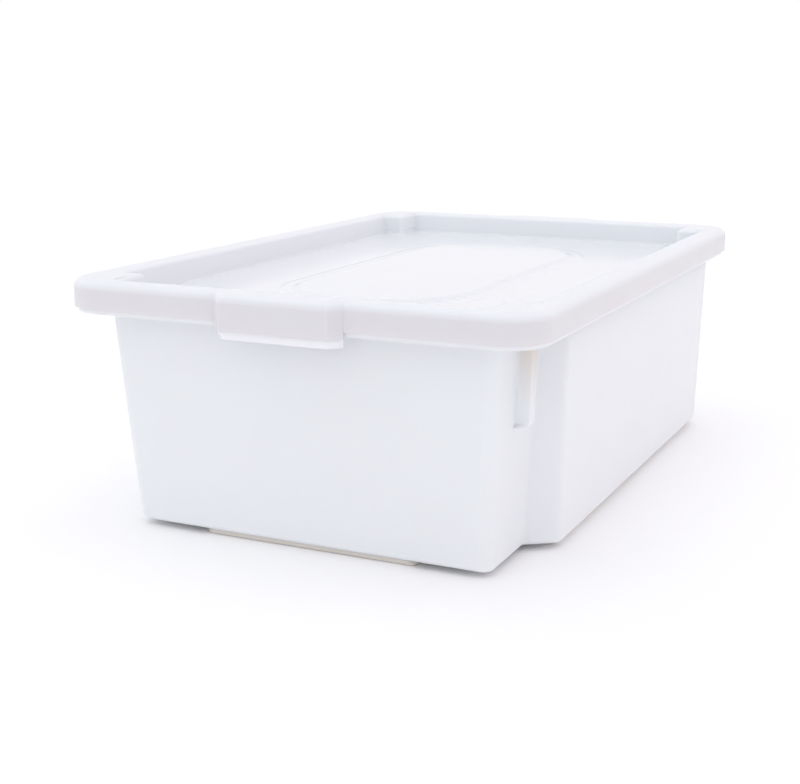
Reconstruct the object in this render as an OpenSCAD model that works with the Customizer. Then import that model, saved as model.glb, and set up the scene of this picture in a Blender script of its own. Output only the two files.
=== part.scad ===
// Stacking storage crate: a drafted tub with a stepped plan, and a lift-off lid whose band
// caps the tub's rim. Origin at the centre of the footprint, on the surface it stands on.
// +Z is up, +Y runs along the length towards the end with the overhanging rim.

/* [Overall] */
// Outside width over the lid's band
band_w = 413; // [400:1:430]
// Outside length over the lid's band, without the hand grips
band_l = 625; // [600:1:650]
// Height of the whole crate with its lid on
total_h = 212.5; // [190:0.5:280]
// Plan radius of the band's corners
band_r = 35; // [28:1:45]

/* [Tub] */
// Thickness of the tub's walls, floor and rim
wall = 2.8; // [2:0.1:3.5]
// Height of the base plinth that the crate stands on
plinth_h = 4.5; // [3:0.5:8]
// How far the rim hangs over the long walls
side_hang = 16; // [14:0.5:20]
// How far the rim hangs over the front wall
front_hang = 21; // [19:0.5:24]
// How far the rim hangs over the back wall
back_hang = 36; // [32:0.5:42]
// Length of the narrow front section, front wall to the inner corner of the step
narrow_l = 87; // [85:0.5:110]
// How far each side of the narrow section is set in from the long wall
step_x = 20; // [16:0.5:26]
// How far back the step slants from its inner corner to its outer one
step_slant = 13; // [8:1:16]
// Draft of the long walls over their height
side_draft = 4.2; // [3:0.2:10]
// Draft of the front wall over its height
front_draft = 14; // [8:0.5:16]
// Radius of the edge between walls and floor
base_edge_r = 5; // [4:0.5:9]
// Height of the rim's turned-down skirt
rim_skirt_h = 24.7; // [18:0.1:28]

/* [Nesting keys] */
// Height of the key under the ledge
key_h = 70; // [50:1:100]
// Thickness of the key along the crate
key_l = 10.5; // [10:0.5:16]
// How far the key stands out from the wall
key_out = 12; // [8:0.5:14]
// Clear distance from the key to the inner corner of the step
key_gap = 36; // [30:0.5:42]

/* [Lid] */
// Thickness of the lid
lid_t = 2.5; // [1.8:0.1:3]
// Height of the band that caps the rim
band_h = 23.5; // [18:0.5:26]
// Radius along the band's top edge
band_edge_r = 8; // [5:0.5:9]
// Width of the band's top
band_top_w = 22; // [21:0.5:24]
// Depth of the recess that takes the crate above
recess_d = 21.5; // [18:0.5:22]
// Height of the raised oval panel on the recess floor
oval_h = 3; // [1:0.5:4]
// Half width of the oval panel's flat top
oval_r = 77; // [50:1:90]
// Distance from the middle to the centre of each oval end
oval_y = 118; // [80:1:140]

/* [Hand grips] */
// How far a grip stands out from the band
grip_out = 10; // [6:0.5:14]
// Width of the grip's outer face
grip_w = 94; // [80:1:130]
// Width over the grip's sloping ends
grip_base_w = 112; // [100:1:150]
// Extra depth of the grip's skirt below the band
grip_drop = 5.5; // [3:0.5:8]

/* [Hidden] */
$fn = 64;
eps = 0.02;
gap = 0.2;                              // free play between the rim and the lid
bx = band_w / 2;
by = band_l / 2;
rim_top = total_h - lid_t - gap;
rim_in = lid_t + 1;                     // rim face set in from the band face
band_low = total_h - band_h;
floor_top = total_h - recess_d;         // top of the lid's recess floor
ledge_top = floor_top - lid_t - 3;      // inside ledges, just under the lid's floor
ledge_low = ledge_top - wall;
wide_x = bx - side_hang;
front_y = -by + front_hang;
back_y = by - back_hang;
inner_y = front_y + narrow_l;           // inner corner of the step
step_y = inner_y + step_slant;          // outer corner of the step
slant = atan(step_slant / step_x);
narrow_x = wide_x - step_x;
mouth_r = band_r - side_hang;
narrow_draft = 9.5;                     // draft of the narrow section's sides
back_draft = 4.4;
step_draft = 1;
wall_r = 10;                            // plan radius of the walls' corners
step_r = 8;                             // plan radius of the step's outer corner
step_run = step_r * tan(45 - slant / 2);
key_root = 8;                           // how far a key reaches back into the wall
hull_fn = 32;
grip_rim_low = ledge_low - 6;           // lower edge of the tub's grip lip
notch_x = 160;                          // corner blocks of the recess start here
notch_y = 251;
oval_slope = 10;                        // width of the oval's sloping edge
recess_draft = 2.5;
plinth_inset = 5;
plinth_wide_x = wide_x - side_draft - 7.5;
plinth_narrow_x = 97;
plinth_front_y = front_y + front_draft + plinth_inset;
plinth_step_y = step_y + 2;
plinth_back_y = back_y - back_draft - plinth_inset;
plinth_r = 12;

// Rounded rectangle, centred across the width, from y0 to y1
module plan(x, y0, y1, r) {
    translate([-x + r, y0]) square([2 * (x - r), y1 - y0]);
    translate([-x, y0 + r]) square([2 * x, y1 - y0 - 2 * r]);
    for (sx = [-1, 1], y = [y0 + r, y1 - r])
        translate([sx * (x - r), y]) circle(r);
}

// Flat plate of that plan from z0 to z1
module plate(x, y0, y1, r, z0, z1) {
    translate([0, 0, z0]) linear_extrude(z1 - z0) plan(x, y0, y1, r);
}

// Disc whose lower edge is rounded, for the foot of a drafted wall
module dish(r, edge) {
    rotate_extrude($fn = hull_fn) {
        square([r - edge, edge]);
        translate([r - edge, edge]) intersection() {
            circle(edge, $fn = hull_fn);
            translate([0, -edge]) square(edge);
        }
    }
}

// Drafted block around corner discs [x, y, radius] at its rounded foot and at its top, inset by t
module drafted(foot, top, t, z1) {
    hull() {
        for (sx = [-1, 1], c = foot)
            translate([sx * c[0], c[1], plinth_h + t]) dish(c[2] - t, base_edge_r - t);
        for (sx = [-1, 1], c = top)
            translate([sx * c[0], c[1], z1 - 1]) cylinder(1, r = c[2] - t, $fn = hull_fn);
    }
}

// Corner discs of the wide part: outer corner of the step, a point on along its slant, back corner
function wide_discs(x, y_step, y_back, r_back) =
    let (cx = x - step_r, cy = y_step + step_run, reach = step_x + 2 * wall_r)
    [[cx, cy, step_r],
     [cx - reach * cos(slant), cy - reach * sin(slant), step_r],
     [x - r_back, y_back - r_back, r_back]];

// Corner discs of the narrow part, which runs on into the wide part
function narrow_discs(x, y_front, r) = [[x - r, y_front + r, r], [x - r, step_y + 4 * wall_r, r]];

module wide_block(t, z1) {
    drafted(wide_discs(wide_x - side_draft, step_y + step_draft, back_y - back_draft, wall_r),
            wide_discs(wide_x, step_y, back_y, wall_r), t, z1);
}

module narrow_block(t, z1) {
    drafted(narrow_discs(narrow_x - narrow_draft, front_y + front_draft, wall_r),
            narrow_discs(narrow_x, front_y, wall_r), t, z1);
}

// Low plinth under the floor, wide under the wide part and narrow at the front
module plinth(t, z0, z1) {
    plate(plinth_wide_x - t, plinth_step_y + t, plinth_back_y - t, plinth_r - t, z0, z1);
    plate(plinth_narrow_x - t, plinth_front_y + t, plinth_step_y + 4 * plinth_r, plinth_r - t, z0, z1);
}

// Hollow keys on the sides of the narrow section, inset by t and open at the top
module keys(t, z1) {
    z0 = ledge_low - key_h + t;
    x0 = narrow_x - key_root + t;
    y0 = inner_y - key_gap - key_l + t;

    for (m = [0, 1])
        mirror([m, 0, 0]) translate([x0, y0, z0])
            cube([key_root + key_out - 2 * t, key_l - 2 * t, z1 - z0]);
}

// Plan of a hand grip at the end on side s, inset by t, reaching inwards to y_in
module grip_plan(s, t, y_in) {
    y_out = by + grip_out - t;
    y_band = by - t;
    a = grip_w / 2 - t;
    b = grip_base_w / 2 - t;

    polygon([for (p = [[-b, y_in], [-b, y_band], [-a, y_out], [a, y_out], [b, y_band], [b, y_in]])
        [p[0], s * p[1]]]);
}

// Straight-sided mouth above the ledges, inset by t
module mouth(z0, t, z1) {
    plate(wide_x - t, -by + side_hang + t, by - side_hang - t, mouth_r - t, z0, z1);
}

// Rim: flat top, turned-down skirt, and a deeper lip at each hand grip
module rim() {
    x = bx - rim_in;
    y = by - rim_in;
    r = band_r - rim_in;

    difference() {
        union() {
            plate(x, -y, y, r, rim_top - rim_skirt_h, rim_top);
            for (s = [-1, 1])
                translate([0, 0, grip_rim_low])
                    linear_extrude(rim_top - grip_rim_low) grip_plan(s, rim_in, y - 12);
        }
        plate(x - wall, -y + wall, y - wall, r - wall, 0, rim_top - wall);
        for (s = [-1, 1])
            linear_extrude(rim_top - wall) grip_plan(s, rim_in + wall, y - 14);
        mouth(0, wall, total_h);
    }
}

module tub() {
    color("whitesmoke") difference() {
        union() {
            wide_block(0, ledge_top);
            narrow_block(0, ledge_top);
            plinth(0, 0, plinth_h + 3);
            keys(0, ledge_top);
            mouth(ledge_low, 0, rim_top);
            rim();
        }
        wide_block(wall, ledge_top + eps);
        narrow_block(wall, ledge_top + eps);
        keys(wall, ledge_top + eps);
        plinth(wall, wall, plinth_h + wall + 3);
        mouth(ledge_top, wall, total_h);
    }
}

// Outside of the lid's band, with its rounded top edge
module band_body() {
    hull() {
        for (sx = [-1, 1], sy = [-1, 1])
            translate([sx * (bx - band_r), sy * (by - band_r), total_h])
                mirror([0, 0, 1]) {
                    dish(band_r, band_edge_r);
                    cylinder(band_h, r = band_r - band_edge_r, $fn = hull_fn);
                    translate([0, 0, band_edge_r])
                        cylinder(band_h - band_edge_r, r = band_r, $fn = hull_fn);
                }
    }
}

// Outside of one hand grip of the lid
module grip_body(s) {
    hull() {
        translate([0, 0, band_low - grip_drop])
            linear_extrude(band_h + grip_drop - band_edge_r) grip_plan(s, 0, by - 20);
        translate([0, 0, total_h - 1])
            linear_extrude(1) grip_plan(s, band_edge_r, by - 20);
        translate([0, 0, total_h - band_edge_r * 0.3])
            linear_extrude(0.1) grip_plan(s, band_edge_r * 0.3, by - 20);
    }
}

// Recess outline grown by t, narrowing to its floor at z0
module recess(t, z0) {
    xt = bx - band_top_w + t;
    yt = by - band_top_w + t;
    xf = xt - recess_draft;
    yf = yt - recess_draft;
    r = band_r - band_top_w + t;

    hull() {
        for (sx = [-1, 1], sy = [-1, 1]) {
            translate([sx * (xf - r), sy * (yf - r), z0]) cylinder(1, r = r, $fn = hull_fn);
            translate([sx * (xt - r), sy * (yt - r), total_h]) cylinder(1, r = r, $fn = hull_fn);
        }
    }
}

// Corner blocks that key the crate above, inset by t
module corner_blocks(t, z0) {
    for (sx = [-1, 1], sy = [-1, 1])
        translate([sx * (notch_x + t + 25), sy * (notch_y + t + 25), z0])
            linear_extrude(total_h) square(50, center = true);
}

// Raised oval with a sloping edge, standing on z0
module oval(z0) {
    hull() {
        for (s = [-1, 1]) {
            translate([0, s * oval_y, z0]) cylinder(0.01, r = oval_r + oval_slope);
            translate([0, s * oval_y, z0]) cylinder(oval_h, r = oval_r);
        }
    }
}

module lid() {
    color("white") difference() {
        union() {
            difference() {
                union() {
                    band_body();
                    for (s = [-1, 1]) grip_body(s);
                }
                difference() {
                    recess(0, floor_top);
                    corner_blocks(0, 0);
                }
            }
            oval(floor_top);
        }
        difference() {
            union() {
                plate(bx - lid_t, -by + lid_t, by - lid_t, band_r - lid_t, 0, total_h - lid_t);
                for (s = [-1, 1])
                    linear_extrude(total_h - lid_t) grip_plan(s, lid_t, by - 19);
            }
            difference() {
                recess(lid_t, floor_top - lid_t);
                corner_blocks(lid_t, -1);
            }
        }
        oval(floor_top - lid_t - eps);
    }
}

tub();
lid();
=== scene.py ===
"""Looks of a stacking storage crate: a drafted polypropylene tub with a slanted step on each side,
and a lift-off lid whose band caps the tub's rim. Every size is in metres, +Z is up, and the origin
is the centre of the footprint on the surface that the crate stands on."""

import math
from collections import namedtuple

import bmesh
import bpy
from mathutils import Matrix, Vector


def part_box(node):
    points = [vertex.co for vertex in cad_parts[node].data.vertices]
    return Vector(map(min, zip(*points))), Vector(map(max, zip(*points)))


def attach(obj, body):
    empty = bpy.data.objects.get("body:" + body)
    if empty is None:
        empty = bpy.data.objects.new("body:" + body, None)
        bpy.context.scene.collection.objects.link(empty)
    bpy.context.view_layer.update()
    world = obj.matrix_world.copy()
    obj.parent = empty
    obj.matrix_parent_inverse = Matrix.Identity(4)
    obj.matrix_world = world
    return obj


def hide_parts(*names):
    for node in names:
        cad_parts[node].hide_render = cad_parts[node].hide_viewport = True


bl_info = {
    "name": "Stacking storage crate",
    "version": (1, 0, 0),
    "blender": (4, 5, 0),
    "location": "View3D > Sidebar > Crate",
    "description": "Builds the tub, the lid and the studio of a stacking storage crate",
    "category": "Object",
}

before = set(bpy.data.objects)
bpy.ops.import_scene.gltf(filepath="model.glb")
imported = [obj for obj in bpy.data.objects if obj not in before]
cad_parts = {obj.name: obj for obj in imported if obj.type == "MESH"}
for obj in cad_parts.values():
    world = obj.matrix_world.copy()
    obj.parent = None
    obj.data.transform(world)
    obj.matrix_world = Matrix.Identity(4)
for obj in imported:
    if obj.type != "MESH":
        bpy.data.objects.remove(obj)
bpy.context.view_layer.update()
TUB_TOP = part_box("tub")[1]
LID_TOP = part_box("lid")[1]

# How finely the sheets are drawn
ARC_STEPS = 8                 # pieces of each rounded corner in plan
EDGE_STEPS = 4                # pieces of each small fillet
OVAL_STEPS = 32               # pieces of each half circle of the oval panel
LEAST_RUN = 0.0008            # shortest stretch that a corner's points are spread over
LEAST_RADIUS = 0.0006
SHARP_EDGE = math.radians(40)
STATION = 0.001               # radius of a station on a straight side, where it only spreads points

# Places in the list that wall_corners gives
FRONT_CORNER = 2
KEY_STATIONS = range(3, 7)
STEP_OUTER = 8
BACK_CORNER = 9

# Small sizes of the mouldings, in metres
FILLET = 0.003                # between a wall and the flat that it meets
LEDGE_PLAY = 0.003            # between the lid's floor and the tub's ledges
RIM_PLAY = 0.001              # between the tub's rim and the inside of the lid's band
GRIP_TIP_RADIUS = 0.003
GRIP_ROOT_RADIUS = 0.002
STEP_INNER_RADIUS = 0.006
STEP_OUTER_RADIUS = 0.008
KEY_RADIUS = 0.0015
KEY_FLARE = 0.001             # slant of the key's front face from its root to its tip
KEY_LEAN_FRONT = 0.016        # lean of the key's faces over the whole height of the wall
KEY_LEAN_BACK = 0.006
KEY_LEAN_SIDE = 0.008
PLINTH_INSET = 0.005          # set in from the foot of the front and back walls
PLINTH_SIDE_INSET = 0.0075    # and of the long walls
PLINTH_STEP_INSET = 0.008     # and of the step
PLINTH_NARROW_X = 0.097       # half width of the plinth's narrow front
PLINTH_EDGE = 0.001           # radius of the plinth's lower edge
PLINTH_FILLET = 0.0015        # between the plinth and the floor above it
PLINTH_RADIUS = 0.012
PLINTH_FRONT_RADIUS = 0.008
PLINTH_INNER_RADIUS = 0.004
PLINTH_INNER_RUN = 0.010      # how far the plinth's step slants
PLINTH_STATION = 0.020        # from the plinth's front to its first station
PLINTH_STATION_GAP = 0.010
RECESS_RADIUS = 0.004
BLOCK_DRAFT = 0.001
CROWN = 0.0012                # the band's top falls by this much to its inner edge
CROWN_SHARES = (0.3, 0.6, 0.85, 1.0)
SLOPE_SHARES = (0.15, 0.35, 0.65, 0.85, 1.0)

# Underside of the key: height above its lowest point, and share of its full depth there
KEY_UNDERSIDE = ((0.0008, 0.3), (0.0018, 0.62), (0.0030, 0.86), (0.0044, 0.97), (0.0060, 1))

# Where shade is painted into the plastic's colour, and where the mould is polished, in metres
SHADE_BLUR = 0.002             # the painted shade fades out over this much
KEY_SHADE_DEPTH = 0.055            # shade is painted this far down the keys from the ledge
KEY_SHADE_FULL = 0.005             # and in full this near to it
KEY_SHADE_BEHIND = 0.003           # the painted shade on the keys ends this far behind them
FOOT_SHADE_TOP = 0.0003        # the painted shade on the plinth ends this far under the floor above it
FOOT_SHADE_FULL = 0.0008
POLISH_TOP = 0.006            # the polish ends this high above the recess floor
POLISH_FULL = 0.004
POLISH_BLUR = 0.001

# Skin of the plastic
CLOUD_SCALE = 9.0             # flow clouds in a metre
SMEAR_SCALE = 30.0            # patches of dull and shiny in a metre
SMEAR_RANGE = (0.3, 0.7)
GRAIN_SIZE = 0.0015
GRAIN_DEPTH = 0.00008
GRAIN_STRENGTH = 0.12
POLISHED = 0.35               # share of roughness and grain left where the mould is polished
TUB_ROUGHNESS = (0.38, 0.5)
LID_ROUGHNESS = (0.3, 0.4)


def length(name, description, default, low, high):
    """A size that a user can change, in metres"""
    return bpy.props.FloatProperty(
        name=name, description=description, default=default, min=low, max=high,
        unit="LENGTH", subtype="DISTANCE", precision=4,
    )


class CrateTubSizes(bpy.types.PropertyGroup):
    wall: length("Wall", "Thickness of walls, floor and rim", 0.0028, 0.002, 0.0035)
    plinth_height: length("Plinth height", "Height of the base plinth", 0.0045, 0.003, 0.008)
    side_hang: length("Side overhang", "Band over the long walls", 0.016, 0.014, 0.020)
    front_hang: length("Front overhang", "Band over the front wall", 0.021, 0.019, 0.024)
    back_hang: length("Back overhang", "Band over the back wall", 0.036, 0.032, 0.042)
    narrow_length: length("Narrow length", "Front wall to the step's inner corner", 0.087, 0.080, 0.110)
    step_in: length("Step", "Set-in of the narrow section on each side", 0.020, 0.016, 0.026)
    step_slant: length("Step slant", "How far back the step slants", 0.013, 0.008, 0.018)
    front_draft: length("Front draft", "Draft of the front wall over its height", 0.014, 0.008, 0.016)
    side_draft: length("Side draft", "Draft of the long walls over their height", 0.0042, 0.003, 0.010)
    narrow_draft: length("Narrow draft", "Draft of the narrow section's sides", 0.0095, 0.004, 0.012)
    back_draft: length("Back draft", "Draft of the back wall", 0.0044, 0.003, 0.008)
    step_draft: length("Step draft", "Draft of the step", 0.001, 0.0005, 0.004)
    wall_corner: length("Wall corner", "Plan radius of the walls' corners", 0.010, 0.006, 0.019)
    foot_edge: length("Foot edge", "Radius between walls and floor", 0.005, 0.004, 0.009)
    skirt_height: length("Skirt", "Height of the rim's turned-down skirt", 0.0247, 0.018, 0.028)
    grip_drop: length("Grip drop", "Extra depth of the rim's skirt at the grips", 0.0084, 0.006, 0.010)
    key_height: length("Key height", "Height of the nesting key under the ledge", 0.070, 0.050, 0.100)
    key_thickness: length("Key thickness", "Thickness along the crate at its top", 0.012, 0.010, 0.016)
    key_out: length("Key depth", "How far the key stands out", 0.012, 0.008, 0.014)
    key_gap: length("Key gap", "From the key to the step's inner corner", 0.036, 0.030, 0.044)


class CrateLidSizes(bpy.types.PropertyGroup):
    sheet: length("Thickness", "Thickness of the lid", 0.0025, 0.0018, 0.003)
    band_height: length("Band height", "Height of the band that caps the rim", 0.0235, 0.018, 0.026)
    band_radius: length("Band corner", "Plan radius of the band's corners", 0.035, 0.028, 0.045)
    band_edge: length("Band edge", "Radius along the band's top edge", 0.008, 0.005, 0.009)
    band_width: length("Band width", "Width of the band's top", 0.022, 0.021, 0.024)
    recess_depth: length("Recess depth", "Depth of the stacking recess", 0.0215, 0.018, 0.022)
    recess_draft: length("Recess draft", "Draft of the recess wall", 0.0025, 0.001, 0.004)
    block_x: length("Corner block X", "Where a corner block starts across", 0.160, 0.150, 0.175)
    block_y: length("Corner block Y", "Where a corner block starts along", 0.251, 0.240, 0.275)
    oval_height: length("Oval height", "Height of the raised oval panel", 0.003, 0.001, 0.004)
    oval_radius: length("Oval half width", "Half width of the oval's flat top", 0.077, 0.050, 0.090)
    oval_centre: length("Oval end", "Middle of the lid to the centre of an oval end", 0.118, 0.080, 0.140)
    oval_slope: length("Oval slope", "Width of the slope round the oval's top", 0.009, 0.003, 0.010)
    shelf_height: length("Shelf height", "Height of the low shelf round the oval", 0.0005, 0.0003, 0.002)
    shelf_width: length("Shelf width", "Width of the low shelf round the oval", 0.007, 0.004, 0.012)
    shelf_slope: length("Shelf slope", "Width of the slope round the shelf", 0.005, 0.002, 0.008)
    grip_out: length("Grip depth", "How far a grip stands out from the band", 0.010, 0.006, 0.014)
    grip_width: length("Grip width", "Width of a grip's outer face", 0.094, 0.080, 0.130)
    grip_base: length("Grip base", "Width over a grip's sloping ends", 0.112, 0.100, 0.150)
    grip_drop: length("Grip drop", "Extra depth of the lid's grip skirt", 0.0055, 0.003, 0.008)


def shade(name, description, hex_value):
    """A colour that a user can change, given as an sRGB hex value"""
    return bpy.props.FloatVectorProperty(
        name=name, description=description, default=linear(hex_value),
        size=4, min=0, max=1, subtype="COLOR",
    )


def linear(hex_value):
    """sRGB hex value such as "f0f0ee" as a linear RGBA colour"""
    channels = [int(hex_value[i:i + 2], 16) / 255 for i in (0, 2, 4)]
    return tuple(c / 12.92 if c <= 0.04045 else ((c + 0.055) / 1.055) ** 2.4 for c in channels) + (1.0,)


class CrateFinish(bpy.types.PropertyGroup):
    tub_colour: shade("Tub", "Natural white of the tub", "f3f5f9")
    tub_cloud: shade("Tub clouds", "Faintly warmer clouds in the tub's plastic", "f2f1f5")
    lid_colour: shade("Lid", "Natural white of the lid", "f3f3f8")
    lid_cloud: shade("Lid clouds", "Faintly cooler clouds in the lid's plastic", "eef0f5")
    # Painted shade: a warm grey that stands in for the shade on the plinth and on the tops of the nesting
    # keys under the ledge
    painted_foot_and_key_shade: shade("Scuffed", "Soiled plastic on the plinth and at the top of the nesting keys", "e6dcd4")
    # Painted shade: a grey that stands in for the dimmer light on the band's outer face below its top edge
    painted_skirt_shade: shade("Handled", "Plastic greyed by hands on the band's skirt", "e3dfe3")
    floor_colour: shade("Floor", "Pale studio floor", "fdfdfd")


class CrateStage(bpy.types.PropertyGroup):
    front_tint: shade("Front tint", "Cool light on the front", "f9fcff")
    side_tint: shade("Side tint", "Warmer light on the long side", "fffafd")
    sky: bpy.props.FloatProperty(
        name="Sky", description="Strength of the even studio light", default=1.0, min=0, max=4)
    top_light: bpy.props.FloatProperty(
        name="Top light", description="Strength of the broad light from above", default=0.3, min=0, max=10)


# ---- outlines ----

Corner = namedtuple("Corner", "x y radius")


def closed(corners):
    """Corners of the right half, front to back, with their mirror images on the left"""
    return corners + [Corner(-c.x, c.y, c.radius) for c in reversed(corners)]


def outline(corners, inset=0.0):
    """Points of the closed outline through the right half's corners, every side moved inwards by inset.
    Each corner is an arc, or an even spread of points where the outline runs straight on."""
    loop = closed(corners)
    points = []
    for before, corner, after in zip(loop[-1:] + loop[:-1], loop, loop[1:] + loop[:1]):
        into = Vector((corner.x - before.x, corner.y - before.y)).normalized()
        out = Vector((after.x - corner.x, after.y - corner.y)).normalized()
        turn = math.atan2(into.x * out.y - into.y * out.x, into.dot(out))
        side_in = Vector((-into.y, into.x))
        side_out = Vector((-out.y, out.x))
        tip = Vector((corner.x, corner.y)) + inset * (side_in + side_out) / (1 + side_in.dot(side_out))
        radius = max(corner.radius - inset * math.copysign(1, turn), LEAST_RADIUS)
        run = max(radius * math.tan(abs(turn) / 2), LEAST_RUN)
        start, end, weight = tip - run * into, tip + run * out, math.cos(turn / 2)
        for i in range(ARC_STEPS + 1):
            t = i / ARC_STEPS
            a, b, c = (1 - t) ** 2, 2 * weight * t * (1 - t), t ** 2
            points.append((a * start + b * tip + c * end) / (a + b + c))
    return points


def between(first, second, share):
    """Outline part of the way from one to the other"""
    return [a.lerp(b, share) for a, b in zip(first, second)]


def towards(first, second, distance):
    """Outline moved by a distance from one to the other, at most half the way at each point"""
    moved = []
    for a, b in zip(first, second):
        gap = (b - a).length
        moved.append(a.lerp(b, min(distance / gap, 0.5)) if gap > 1e-9 else a.copy())
    return moved


def at(points, z):
    """An outline at a height"""
    return [Vector((p.x, p.y, z)) for p in points]


def quarter(steps=EDGE_STEPS):
    """Sine and cosine along a quarter turn, without its start"""
    turns = [math.pi / 2 * i / steps for i in range(1, steps + 1)]
    return [(math.sin(turn), math.cos(turn)) for turn in turns]


# ---- sheets ----

def loose_ring(bm, ring, closed_by_face=False):
    """A ring of vertices and edges at the points, with or without one flat face in it"""
    border = bmesh.ops.create_circle(bm, cap_ends=closed_by_face, segments=len(ring), radius=1)["verts"]
    for vertex, point in zip(border, ring):
        vertex.co = point
    return border


def start_sheet(bm, ring, faces_up):
    """Closes the first ring with one flat face, and gives the ring's vertices"""
    border = loose_ring(bm, ring, closed_by_face=True)
    bm.normal_update()
    if (bm.faces[:][0].normal.z > 0) != faces_up:
        bmesh.ops.reverse_faces(bm, faces=bm.faces[:])
    return border


def edges_along(bm, border, close=True):
    """The edges from each vertex of the border to the next, and from the last to the first"""
    ends = border[1:] + border[:1] if close else border[1:]
    return [bm.edges.get((a, b)) for a, b in zip(border, ends)]


def grow(bm, border, ring, close=True):
    """Extrudes the border to a new ring of points, and gives the new border"""
    made = bmesh.ops.extrude_edge_only(bm, edges=edges_along(bm, border, close))["geom"]
    fresh = {v for v in made if isinstance(v, bmesh.types.BMVert)}
    border = [next(e.other_vert(v) for e in v.link_edges if e.other_vert(v) in fresh) for v in border]
    for vertex, point in zip(border, ring):
        vertex.co = point
    return border


def drop_grips(bm, border, corners, distance):
    """Lengthens the skirt downwards at the front and back grips, the outer two stations at each end"""
    span = ARC_STEPS + 1
    count = 2 * corners * span
    reach = 2 * span - span // 2
    front = [border[i % count] for i in range(count - reach, count + reach)]
    back = border[corners * span - reach:corners * span + reach]
    for part in (front, back):
        grow(bm, part, [v.co - Vector((0, 0, distance)) for v in part], close=False)


def finish_piece(bm, name, thickness):
    """The sheet as an object whose thickness is added on the side that faces away"""
    mesh = bpy.data.meshes.new(name)
    bm.normal_update()
    for face in bm.faces:
        face.smooth = True
    for edge in bm.edges:
        edge.smooth = edge.calc_face_angle(0) < SHARP_EDGE
    bm.to_mesh(mesh)
    bm.free()
    piece = bpy.data.objects.new(name, mesh)
    bpy.context.scene.collection.objects.link(piece)
    shell = piece.modifiers.new("Wall", "SOLIDIFY")
    shell.thickness = thickness
    shell.offset = -1
    shell.use_even_offset = False
    shell.use_quality_normals = True
    piece.modifiers.new("Normals", "WEIGHTED_NORMAL").keep_sharp = True
    return piece


# ---- materials ----

def add_node(tree, kind, settings=None, links=None):
    """Adds a node, sets its attributes and inputs, and links inputs to other nodes' outputs"""
    node = tree.nodes.new(kind)
    for key, value in (settings or {}).items():
        if isinstance(key, str) and hasattr(node, key):
            setattr(node, key, value)
        else:
            node.inputs[key].default_value = value
    for key, output in (links or {}).items():
        tree.links.new(output, node.inputs[key])
    return node


def fade(tree, value, start, end, low=0.0, high=1.0):
    """Goes from low to high as the value goes from start to end"""
    spread = {"From Min": start, "From Max": end, "To Min": low, "To Max": high}
    return add_node(tree, "ShaderNodeMapRange", spread, {"Value": value}).outputs["Result"]


def maths(tree, operation, first, second=None):
    """One sum on one or two node outputs"""
    links = {0: first} if second is None else {0: first, 1: second}
    return add_node(tree, "ShaderNodeMath", {"operation": operation}, links).outputs["Value"]


def vector_maths(tree, operation, vector, constant=(0, 0, 0)):
    """One sum on a vector output and a constant vector"""
    return add_node(tree, "ShaderNodeVectorMath", {"operation": operation, 1: constant}, {0: vector}).outputs


def tub_zones(tree, place):
    """Zones of painted shade on the tub: its plinth, and its nesting keys up under the ledge. No zone is
    polished.
    """
    top = bpy.context.scene.crate_tub.plinth_height
    ledge = ledge_under()
    walls = wall_corners(1, with_key=True)
    side = walls[FRONT_CORNER].x
    behind = walls[KEY_STATIONS[-1]].y
    axes = add_node(tree, "ShaderNodeSeparateXYZ", links={"Vector": place}).outputs
    end = behind + KEY_SHADE_BEHIND
    # Painted shade: on the plinth, under the floor above it, and on the keys' tops, under the ledge
    foot = fade(tree, axes["Z"], top - FOOT_SHADE_FULL, top - FOOT_SHADE_TOP, 1.0, 0.0)
    outwards = fade(tree, maths(tree, "ABSOLUTE", axes["X"]), side, side + SHADE_BLUR)
    ahead = fade(tree, axes["Y"], end, end + SHADE_BLUR, 1.0, 0.0)
    rising = fade(tree, axes["Z"], ledge - KEY_SHADE_DEPTH, ledge - KEY_SHADE_FULL)
    under = fade(tree, axes["Z"], ledge - SHADE_BLUR, ledge, 1.0, 0.0)
    on_key = maths(tree, "MULTIPLY", outwards, ahead)
    key_shade = maths(tree, "MULTIPLY", on_key, maths(tree, "MULTIPLY", rising, under))
    return maths(tree, "MAXIMUM", foot, key_shade), None


def lid_zones(tree, place):
    """The painted shade on the skirt of the lid's band, and the polished floor of its recess. Both go by the
    distance from the core of the lid's plan, which is the plan without its rounded border."""
    lid = bpy.context.scene.crate_lid
    half_x, half_y = band_half()
    core = (half_x - lid.band_radius, half_y - lid.band_radius, 1.0)
    quadrant = vector_maths(tree, "ABSOLUTE", place)["Vector"]
    past = vector_maths(tree, "SUBTRACT", quadrant, core)["Vector"]
    border = vector_maths(tree, "MAXIMUM", past)["Vector"]
    reach = vector_maths(tree, "LENGTH", border)["Value"]
    height = add_node(tree, "ShaderNodeSeparateXYZ", links={"Vector": place}).outputs["Z"]
    # Painted shade on the outer face of the band, below its rounded top edge
    outside = fade(tree, reach, lid.band_radius - lid.band_edge, lid.band_radius)
    lower = fade(tree, height, LID_TOP.z - SHADE_BLUR, LID_TOP.z - lid.band_edge)
    wall_foot = lid.band_radius - lid.band_width - lid.recess_draft
    floor = LID_TOP.z - lid.recess_depth
    inside = fade(tree, reach, wall_foot - POLISH_BLUR, wall_foot, 1.0, 0.0)
    near_floor = fade(tree, height, floor + POLISH_FULL, floor + POLISH_TOP, 1.0, 0.0)
    return maths(tree, "MULTIPLY", outside, lower), maths(tree, "MULTIPLY", inside, near_floor)


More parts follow.
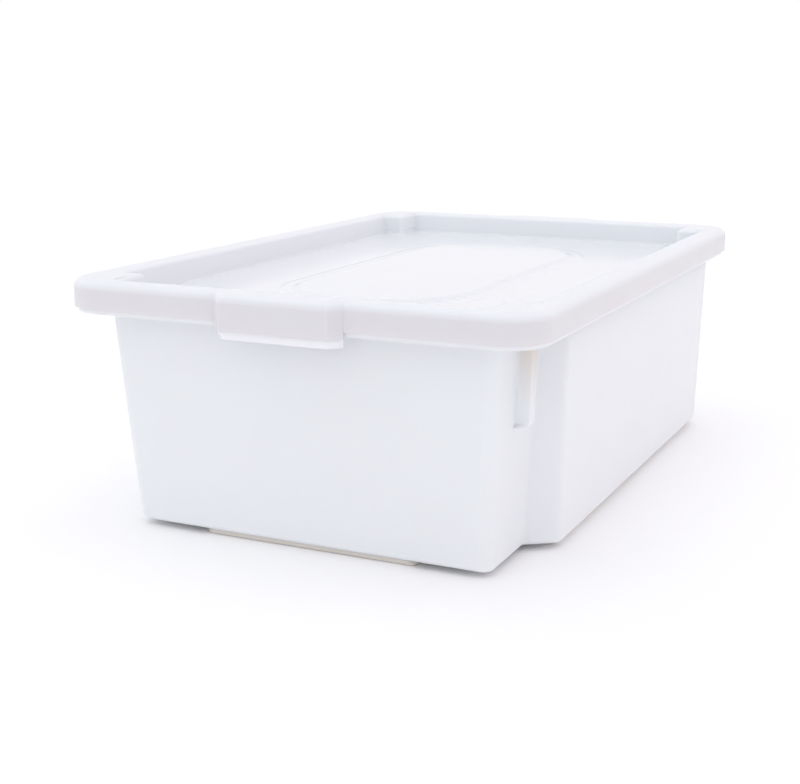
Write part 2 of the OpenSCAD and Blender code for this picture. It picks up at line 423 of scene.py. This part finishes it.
def polypropylene(name, colour, cloud, roughness, painted_shade_colour, zones):
    """Natural polypropylene, injection moulded: a milky white plastic that lets some light through,
    with a satin spark-eroded skin and faint flow clouds. The skin's grain is 0.3 mm and is drawn at
    1.5 mm so that it shows. Its zones give where shade is painted into its colour, and where the mould
    is polished and the plastic is glossy."""
    material = bpy.data.materials.new(name)
    material.use_nodes = True
    tree = material.node_tree
    tree.nodes.clear()
    place = add_node(tree, "ShaderNodeTexCoord").outputs["Object"]
    painted_shade_mask, polish = zones(tree, place)
    clouds = add_node(tree, "ShaderNodeTexNoise", {"Scale": CLOUD_SCALE, "Detail": 3.0},
                      {"Vector": place})
    clean = add_node(tree, "ShaderNodeMix", {"data_type": "RGBA", 6: colour, 7: cloud},
                     {0: clouds.outputs["Fac"]})
    # Painted shade: the zones mix the shade colour into the plastic's own colour
    tone = add_node(tree, "ShaderNodeMix", {"data_type": "RGBA", 7: painted_shade_colour}, {0: painted_shade_mask, 6: clean.outputs[2]})
    grain = add_node(tree, "ShaderNodeTexNoise", {"Scale": 1 / GRAIN_SIZE, "Detail": 2.0},
                     {"Vector": place})
    smears = add_node(tree, "ShaderNodeTexNoise", {"Scale": SMEAR_SCALE, "Detail": 4.0},
                      {"Vector": place})
    rough = fade(tree, smears.outputs["Fac"], *SMEAR_RANGE, *roughness)
    depth = grain.outputs["Fac"]
    if polish is not None:
        dull = fade(tree, polish, 0.0, 1.0, 1.0, POLISHED)
        rough = maths(tree, "MULTIPLY", rough, dull)
        depth = maths(tree, "MULTIPLY", depth, dull)
    bump = add_node(tree, "ShaderNodeBump", {"Strength": GRAIN_STRENGTH, "Distance": GRAIN_DEPTH},
                    {"Height": depth})
    milky = {
        "Subsurface Weight": 0.35,
        "Subsurface Radius": (0.010, 0.008, 0.008),
        "Subsurface Scale": 1.0,
    }
    shader = add_node(
        tree, "ShaderNodeBsdfPrincipled", {"IOR": 1.49, **milky},
        {"Base Color": tone.outputs[2], "Roughness": rough, "Normal": bump.outputs["Normal"]},
    )
    add_node(tree, "ShaderNodeOutputMaterial", links={"Surface": shader.outputs["BSDF"]})
    return material


def painted_floor(colour):
    """Matt painted studio floor with a faint roller texture"""
    material = bpy.data.materials.new("matt_studio_paint")
    material.use_nodes = True
    tree = material.node_tree
    tree.nodes.clear()
    place = add_node(tree, "ShaderNodeTexCoord").outputs["Object"]
    stipple = add_node(tree, "ShaderNodeTexNoise", {"Scale": 300.0}, {"Vector": place})
    bump = add_node(tree, "ShaderNodeBump", {"Strength": 0.02, "Distance": 0.0001},
                    {"Height": stipple.outputs["Fac"]})
    shader = add_node(tree, "ShaderNodeBsdfPrincipled", {"Base Color": colour, "Roughness": 0.9},
                      {"Normal": bump.outputs["Normal"]})
    add_node(tree, "ShaderNodeOutputMaterial", links={"Surface": shader.outputs["BSDF"]})
    return material


# ---- tub ----

def band_half():
    """Half width and half length of the lid's band, without the grips"""
    grip_out = bpy.context.scene.crate_lid.grip_out
    return LID_TOP.x, LID_TOP.y - grip_out


def ledge_under():
    """Height of the underside of the tub's inside ledges, which sit just under the lid's floor"""
    lid = bpy.context.scene.crate_lid
    return LID_TOP.z - lid.recess_depth - lid.sheet - LEDGE_PLAY - bpy.context.scene.crate_tub.wall


def grip_corners(y, back, out=0.0):
    """The two stations of a grip's right end, in front-to-back order"""
    lid = bpy.context.scene.crate_lid
    end = 1 if back else -1
    tip = Corner(lid.grip_width / 2, end * (y + out), GRIP_TIP_RADIUS)
    pair = [tip, Corner(lid.grip_base / 2, end * y, GRIP_ROOT_RADIUS)]
    return pair[::-1] if back else pair


def wall_corners(level, with_key):
    """Corners of the tub's outside at a level, from 0 at the foot to 1 under the ledge"""
    tub = bpy.context.scene.crate_tub
    half_x, half_y = band_half()
    below = 1 - level
    front = half_y - tub.front_hang - tub.front_draft * below
    back = half_y - tub.back_hang - tub.back_draft * below
    wide = half_x - tub.side_hang - tub.side_draft * below
    narrow_top = half_x - tub.side_hang - tub.step_in
    narrow = narrow_top - tub.narrow_draft * below
    inner = -half_y + tub.front_hang + tub.narrow_length
    slope = tub.step_slant / tub.step_in
    lean = below if with_key else 0
    key_back = inner - tub.key_gap + KEY_LEAN_BACK * lean
    key_front = inner - tub.key_gap - tub.key_thickness + KEY_LEAN_FRONT * lean
    key_x = narrow_top + tub.key_out - KEY_LEAN_SIDE * below if with_key else narrow
    pinch = 0 if with_key else tub.key_thickness / 4
    back_flare = 0 if with_key else KEY_FLARE
    step_y = inner + slope * (wide - narrow) + tub.step_draft * below
    corner = tub.wall_corner
    return (
        grip_corners(front, back=False)
        + [
            Corner(narrow, -front, corner),
            Corner(narrow, key_front - KEY_FLARE, KEY_RADIUS),
            Corner(key_x, key_front + pinch, KEY_RADIUS),
            Corner(key_x, key_back - pinch, KEY_RADIUS),
            Corner(narrow, key_back + back_flare, KEY_RADIUS),
            Corner(narrow, inner, STEP_INNER_RADIUS),
            Corner(wide, step_y, STEP_OUTER_RADIUS),
            Corner(wide, back, corner),
        ]
        + grip_corners(back, back=True)
    )


def rim_corners(half_x, half_y, radius, grip_out):
    """Corners of a rim outline with its stations level with those of the tub's walls"""
    tub = bpy.context.scene.crate_tub
    walls = wall_corners(1, with_key=False)
    along = [Corner(half_x, c.y, STATION) for c in walls[FRONT_CORNER + 1:BACK_CORNER]]
    return (
        grip_corners(half_y, back=False, out=grip_out)
        + [Corner(half_x, -half_y, radius)]
        + along
        + [Corner(half_x, half_y, radius)]
        + grip_corners(half_y, back=True, out=grip_out)
    )


def fold_out(bm, border, inner, outer, z, radius):
    """Turns the sheet outwards under a ledge at height z: a fillet, a flat and a rounded edge"""
    for sine, cosine in quarter():
        ring = towards(inner, outer, radius * (1 - cosine))
        border = grow(bm, border, at(ring, z - radius * (1 - sine)))
    for sine, cosine in [(0, 1)] + quarter():
        ring = towards(outer, inner, radius * (1 - sine))
        border = grow(bm, border, at(ring, z + radius * (1 - cosine)))
    return border


def tub_sheet():
    """The tub's outer face as one sheet, from the plinth's underside to the lower edge of the rim"""
    tub = bpy.context.scene.crate_tub
    lid = bpy.context.scene.crate_lid
    half_x, half_y = band_half()
    rim_under = TUB_TOP.z - tub.wall
    ledge = ledge_under()
    foot = tub.plinth_height

    bm = bmesh.new()
    plinth = plinth_corners()
    border = start_sheet(bm, at(outline(plinth, PLINTH_EDGE), 0), faces_up=False)
    for sine, cosine in quarter(2):
        ring = outline(plinth, PLINTH_EDGE * (1 - sine))
        border = grow(bm, border, at(ring, PLINTH_EDGE * (1 - cosine)))
    border = grow(bm, border, at(outline(plinth), foot - PLINTH_FILLET))
    for sine, cosine in quarter(2):
        ring = outline(plinth, -PLINTH_FILLET * (1 - cosine))
        border = grow(bm, border, at(ring, foot - PLINTH_FILLET * (1 - sine)))
    base = wall_corners(0, with_key=False)
    for sine, cosine in [(0, 1)] + quarter(6):
        ring = outline(base, tub.foot_edge * (1 - sine))
        border = grow(bm, border, at(ring, foot + tub.foot_edge * (1 - cosine)))

    def wall_ring(z, with_key):
        return outline(wall_corners((z - foot) / (ledge - foot), with_key))

    key_low = ledge - tub.key_height
    border = grow(bm, border, at(wall_ring(key_low, False), key_low))
    for rise, share in KEY_UNDERSIDE:
        z = key_low + rise
        border = grow(bm, border, at(between(wall_ring(z, False), wall_ring(z, True), share), z))
    border = grow(bm, border, at(wall_ring(ledge - FILLET, True), ledge - FILLET))

    mouth_radius = lid.band_radius - tub.side_hang
    mouth = outline(rim_corners(half_x - tub.side_hang, half_y - tub.side_hang, mouth_radius, 0))
    border = fold_out(bm, border, wall_ring(ledge, True), mouth, ledge, FILLET)

    skirt_corners = rim_corners(half_x, half_y, lid.band_radius, lid.grip_out)
    skirt = outline(skirt_corners, lid.sheet + RIM_PLAY + tub.wall)
    border = grow(bm, border, at(mouth, rim_under - FILLET))
    for sine, cosine in quarter():
        ring = towards(mouth, skirt, FILLET * (1 - cosine))
        border = grow(bm, border, at(ring, rim_under - FILLET * (1 - sine)))
    for sine, cosine in [(0, 1)] + quarter():
        ring = towards(skirt, mouth, FILLET * (1 - sine))
        border = grow(bm, border, at(ring, rim_under - FILLET * (1 - cosine)))
    border = grow(bm, border, at(skirt, TUB_TOP.z - tub.skirt_height))
    drop_grips(bm, border, len(skirt_corners), tub.grip_drop)
    return bm


def plinth_corners():
    """Corners of the base plinth, wide under the wide section and narrow at the front, with stations
    level in number with those of the walls"""
    walls = wall_corners(0, with_key=False)
    front = -walls[FRONT_CORNER].y - PLINTH_INSET
    back = walls[BACK_CORNER].y - PLINTH_INSET
    wide = walls[STEP_OUTER].x - PLINTH_SIDE_INSET
    step_y = walls[STEP_OUTER].y + PLINTH_STEP_INSET
    first = -front + PLINTH_STATION
    stations = [
        Corner(PLINTH_NARROW_X, first + PLINTH_STATION_GAP * i, STATION) for i in range(len(KEY_STATIONS))
    ]
    return (
        grip_corners(front, back=False)
        + [Corner(PLINTH_NARROW_X, -front, PLINTH_FRONT_RADIUS)]
        + stations
        + [
            Corner(PLINTH_NARROW_X, step_y - PLINTH_INNER_RUN, PLINTH_INNER_RADIUS),
            Corner(wide, step_y, PLINTH_RADIUS),
            Corner(wide, back, PLINTH_RADIUS),
        ]
        + grip_corners(back, back=True)
    )


class CRATE_OT_tub(bpy.types.Operator):
    """Build the tub moulding"""
    bl_idname = "crate.tub"
    bl_label = "Tub moulding"

    def execute(self, context):
        finish = context.scene.crate_finish
        piece = finish_piece(tub_sheet(), "tub_moulding", context.scene.crate_tub.wall)
        piece.data.materials.append(
            polypropylene("natural_polypropylene_satin", finish.tub_colour, finish.tub_cloud,
                          TUB_ROUGHNESS, finish.painted_foot_and_key_shade, tub_zones))
        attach(piece, "tub")
        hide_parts("tub")
        return {"FINISHED"}


# ---- lid ----

def recess_corners(level):
    """Corners of the lid's recess, from 0 at its floor to 1 at the band's top"""
    lid = bpy.context.scene.crate_lid
    half_x, half_y = band_half()
    x = half_x - lid.band_width - lid.recess_draft * (1 - level)
    y = half_y - lid.band_width - lid.recess_draft * (1 - level)
    block_x = lid.block_x + BLOCK_DRAFT * level
    block_y = lid.block_y + BLOCK_DRAFT * level
    places = ((block_x, -y), (block_x, -block_y), (x, -block_y))
    front = [Corner(across, along, RECESS_RADIUS) for across, along in places]
    back = [Corner(c.x, -c.y, c.radius) for c in reversed(front)]
    return grip_corners(y, back=False) + front + back + grip_corners(y, back=True)


def band_corners():
    """Corners of the outside of the lid's band with its grips"""
    lid = bpy.context.scene.crate_lid
    x, y = band_half()
    front = [
        Corner(lid.block_x, -y, STATION),
        Corner(x, -y, lid.band_radius),
        Corner(x, -lid.block_y, STATION),
    ]
    back = [Corner(c.x, -c.y, c.radius) for c in reversed(front)]
    return (
        grip_corners(y, back=False, out=lid.grip_out)
        + front
        + back
        + grip_corners(y, back=True, out=lid.grip_out)
    )


def oval_outline(radius):
    """Points of the raised panel's outline: two half circles and the straights between them"""
    centre = bpy.context.scene.crate_lid.oval_centre
    points = []
    for end in (-1, 1):
        for i in range(OVAL_STEPS + 1):
            turn = math.pi * i / OVAL_STEPS + (math.pi if end < 0 else 0)
            points.append(Vector((radius * math.cos(turn), end * centre + radius * math.sin(turn))))
    return points


def slope_down(bm, border, radius, end_radius, z, end_z):
    """An S-shaped slope from one oval outline down to a wider one"""
    for share in SLOPE_SHARES:
        ease = share * share * (3 - 2 * share)
        ring = at(oval_outline(radius + (end_radius - radius) * share), z + (end_z - z) * ease)
        border = grow(bm, border, ring)
    return border


def lid_sheet():
    """The lid's upper face as one sheet: oval panel, recess floor and wall, band, and its skirt"""
    lid = bpy.context.scene.crate_lid
    top = LID_TOP.z
    floor = top - lid.recess_depth
    oval = floor + lid.oval_height
    shelf = floor + lid.shelf_height
    shelf_in = lid.oval_radius + lid.oval_slope
    shelf_out = shelf_in + lid.shelf_width

    bm = bmesh.new()
    border = start_sheet(bm, at(oval_outline(lid.oval_radius), oval), faces_up=True)
    border = slope_down(bm, border, lid.oval_radius, shelf_in, oval, shelf)
    border = grow(bm, border, at(oval_outline(shelf_out), shelf))
    border = slope_down(bm, border, shelf_out, shelf_out + lid.shelf_slope, shelf, floor)
    oval_edge = edges_along(bm, border)

    foot = recess_corners(0)
    border = loose_ring(bm, at(outline(foot, FILLET), floor))
    bmesh.ops.triangle_fill(bm, use_beauty=True, use_dissolve=False,
                            edges=oval_edge + edges_along(bm, border), normal=(0, 0, 1))
    for sine, cosine in quarter():
        border = grow(bm, border, at(outline(foot, FILLET * (1 - sine)), floor + FILLET * (1 - cosine)))

    wall = recess_corners(1)
    inner_top = top - CROWN
    border = grow(bm, border, at(outline(wall), inner_top - FILLET))
    for sine, cosine in quarter():
        ring = outline(wall, -FILLET * (1 - cosine))
        border = grow(bm, border, at(ring, inner_top - FILLET * (1 - sine)))

    band = band_corners()
    inner_edge, crest = outline(wall, -FILLET), outline(band, lid.band_edge)
    for share in CROWN_SHARES:
        height = top - CROWN * (1 - share) ** 2
        border = grow(bm, border, at(between(inner_edge, crest, share), height))
    for sine, cosine in quarter(8):
        ring = outline(band, lid.band_edge * (1 - sine))
        border = grow(bm, border, at(ring, top - lid.band_edge * (1 - cosine)))
    border = grow(bm, border, at(outline(band), top - lid.band_height))
    drop_grips(bm, border, len(band), lid.grip_drop)
    return bm


class CRATE_OT_lid(bpy.types.Operator):
    """Build the lid moulding"""
    bl_idname = "crate.lid"
    bl_label = "Lid moulding"

    def execute(self, context):
        finish = context.scene.crate_finish
        lid = context.scene.crate_lid
        piece = finish_piece(lid_sheet(), "lid_moulding", lid.sheet)
        piece.data.materials.append(
            polypropylene("natural_polypropylene_glossy", finish.lid_colour, finish.lid_cloud,
                          LID_ROUGHNESS, finish.painted_skirt_shade, lid_zones))
        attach(piece, "lid")
        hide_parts("lid")
        return {"FINISHED"}


# ---- stage ----

CAMERA_PLACE = Vector((0.5146, -1.1892, 0.3761))
CAMERA_TARGET = Vector((-0.0358, -0.0196, 0.0729))
CAMERA_LENS = 61.64           # millimetres, on a sensor 36 mm wide
CAMERA_SENSOR = 36
FLOOR_RADIUS = 20
FLOOR_DROP = 0.0002           # keeps the floor clear of the plinth's underside
TINT_ACROSS = (0.35, 0.35, 0)  # direction and strength of the change in the sky's tint
SUN_SPREAD = math.radians(60)
SUN_AIM = Vector((0.1, 0.1, -1))


class CRATE_OT_stage(bpy.types.Operator):
    """Build the floor, the soft studio light and the camera"""
    bl_idname = "crate.stage"
    bl_label = "Studio"

    def execute(self, context):
        scene = context.scene
        stage = scene.crate_stage
        bm = bmesh.new()
        bmesh.ops.create_circle(bm, cap_ends=True, segments=64, radius=FLOOR_RADIUS)
        bmesh.ops.translate(bm, vec=(0, 0, -FLOOR_DROP), verts=bm.verts[:])
        mesh = bpy.data.meshes.new("floor")
        bm.to_mesh(mesh)
        bm.free()
        floor = bpy.data.objects.new("floor", mesh)
        floor.data.materials.append(painted_floor(scene.crate_finish.floor_colour))
        scene.collection.objects.link(floor)

        world = bpy.data.worlds.new("studio")
        world.use_nodes = True
        tree = world.node_tree
        tree.nodes.clear()
        white = (1, 1, 1, 1)
        seen = add_node(tree, "ShaderNodeLightPath").outputs["Is Camera Ray"]
        place = add_node(tree, "ShaderNodeTexCoord").outputs["Generated"]
        side = vector_maths(tree, "DOT_PRODUCT", place, TINT_ACROSS)["Value"]
        share = add_node(tree, "ShaderNodeMath", {"operation": "ADD", 1: 0.5}, {0: side}).outputs["Value"]
        tints = {6: stage.front_tint, 7: stage.side_tint}
        tint = add_node(tree, "ShaderNodeMix", {"data_type": "RGBA", **tints}, {0: share})
        soft = add_node(tree, "ShaderNodeBackground", {"Strength": stage.sky}, {"Color": tint.outputs[2]})
        backdrop = add_node(tree, "ShaderNodeBackground", {"Color": white, "Strength": 1.0})
        both = add_node(tree, "ShaderNodeMixShader",
                        links={0: seen, 1: soft.outputs["Background"], 2: backdrop.outputs["Background"]})
        add_node(tree, "ShaderNodeOutputWorld", links={"Surface": both.outputs["Shader"]})
        scene.world = world

        sun = bpy.data.lights.new("soft_top_light", "SUN")
        sun.energy = stage.top_light
        sun.angle = SUN_SPREAD
        lamp = bpy.data.objects.new("soft_top_light", sun)
        lamp.rotation_euler = SUN_AIM.to_track_quat("-Z", "Y").to_euler()
        scene.collection.objects.link(lamp)

        camera = bpy.data.cameras.new("camera")
        camera.lens = CAMERA_LENS
        camera.sensor_width = CAMERA_SENSOR
        view = bpy.data.objects.new("camera", camera)
        view.location = CAMERA_PLACE
        view.rotation_euler = (CAMERA_TARGET - CAMERA_PLACE).to_track_quat("-Z", "Y").to_euler()
        scene.collection.objects.link(view)
        scene.camera = view
        scene.view_settings.view_transform = "Standard"
        return {"FINISHED"}


class CRATE_PT_panel(bpy.types.Panel):
    """The crate's builders in the sidebar"""
    bl_idname = "CRATE_PT_panel"
    bl_label = "Stacking crate"
    bl_space_type = "VIEW_3D"
    bl_region_type = "UI"
    bl_category = "Crate"

    def draw(self, context):
        for operator in OPERATORS:
            self.layout.operator(operator.bl_idname)


GROUPS = {
    "crate_tub": CrateTubSizes,
    "crate_lid": CrateLidSizes,
    "crate_finish": CrateFinish,
    "crate_stage": CrateStage,
}
OPERATORS = (CRATE_OT_tub, CRATE_OT_lid, CRATE_OT_stage)


def register():
    for group in GROUPS.values():
        bpy.utils.register_class(group)
    for name, group in GROUPS.items():
        setattr(bpy.types.Scene, name, bpy.props.PointerProperty(type=group))
    for operator in OPERATORS:
        bpy.utils.register_class(operator)
    bpy.utils.register_class(CRATE_PT_panel)


def unregister():
    bpy.utils.unregister_class(CRATE_PT_panel)
    for operator in reversed(OPERATORS):
        bpy.utils.unregister_class(operator)
    for name, group in reversed(GROUPS.items()):
        delattr(bpy.types.Scene, name)
        bpy.utils.unregister_class(group)


def main():
    register()
    bpy.ops.crate.tub()
    bpy.ops.crate.lid()
    bpy.ops.crate.stage()


if __name__ == "__main__":
    main()
